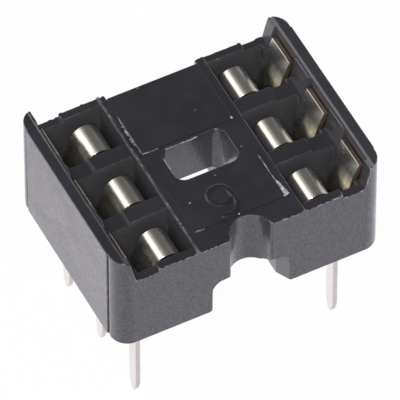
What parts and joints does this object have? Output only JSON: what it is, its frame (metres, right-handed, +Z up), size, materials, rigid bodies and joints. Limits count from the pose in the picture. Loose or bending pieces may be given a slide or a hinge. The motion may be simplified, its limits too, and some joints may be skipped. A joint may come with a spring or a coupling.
{
  "type": "dip socket",
  "caption": "Open-frame dual in-line chip socket: a stepped moulded housing with a slotted deck and rows of sprung leaf contacts on flat board tails.",
  "frame": {"origin": "middle of the tail grid on the board's surface, under the housing's foot", "axes": "+X across the rows, towards the row that starts at the polarity groove's right; +Y along the rows, away from the groove; +Z up, away from the board"},
  "size_m": [0.0102, 0.0076, 0.0086],
  "materials": {
    "housing_plastic": "black glass-filled moulding, satin with a fine grain",
    "contact_metal": "bright tin plate over stamped bronze strip"
  },
  "bodies": {
    "socket": {"housing": "housing_plastic", "contact_1": "contact_metal", "contact_2": "contact_metal", "contact_3": "contact_metal", "contact_4": "contact_metal", "contact_5": "contact_metal", "contact_6": "contact_metal"},
    "wiper_1": {"wiper_1": "contact_metal"},
    "wiper_2": {"wiper_2": "contact_metal"},
    "wiper_3": {"wiper_3": "contact_metal"},
    "wiper_4": {"wiper_4": "contact_metal"},
    "wiper_5": {"wiper_5": "contact_metal"},
    "wiper_6": {"wiper_6": "contact_metal"}
  },
  "joints": [
    {"name": "wiper_1_flex", "type": "hinge", "parent": "socket", "child": "wiper_1", "pos_m": [0.00284, -0.00254, 0.0026], "axis": [0, 1, 0], "range_deg": [0, 7], "stiffness_Nm_per_rad": 0.012},
    {"name": "wiper_2_flex", "type": "hinge", "parent": "socket", "child": "wiper_2", "pos_m": [0.00284, 0, 0.0026], "axis": [0, 1, 0], "range_deg": [0, 7], "stiffness_Nm_per_rad": 0.012},
    {"name": "wiper_3_flex", "type": "hinge", "parent": "socket", "child": "wiper_3", "pos_m": [0.00284, 0.00254, 0.0026], "axis": [0, 1, 0], "range_deg": [0, 7], "stiffness_Nm_per_rad": 0.012},
    {"name": "wiper_4_flex", "type": "hinge", "parent": "socket", "child": "wiper_4", "pos_m": [-0.00284, 0.00254, 0.0026], "axis": [0, -1, 0], "range_deg": [0, 7], "stiffness_Nm_per_rad": 0.012},
    {"name": "wiper_5_flex", "type": "hinge", "parent": "socket", "child": "wiper_5", "pos_m": [-0.00284, 0, 0.0026], "axis": [0, -1, 0], "range_deg": [0, 7], "stiffness_Nm_per_rad": 0.012},
    {"name": "wiper_6_flex", "type": "hinge", "parent": "socket", "child": "wiper_6", "pos_m": [-0.00284, -0.00254, 0.0026], "axis": [0, -1, 0], "range_deg": [0, 7], "stiffness_Nm_per_rad": 0.012}
  ]
}
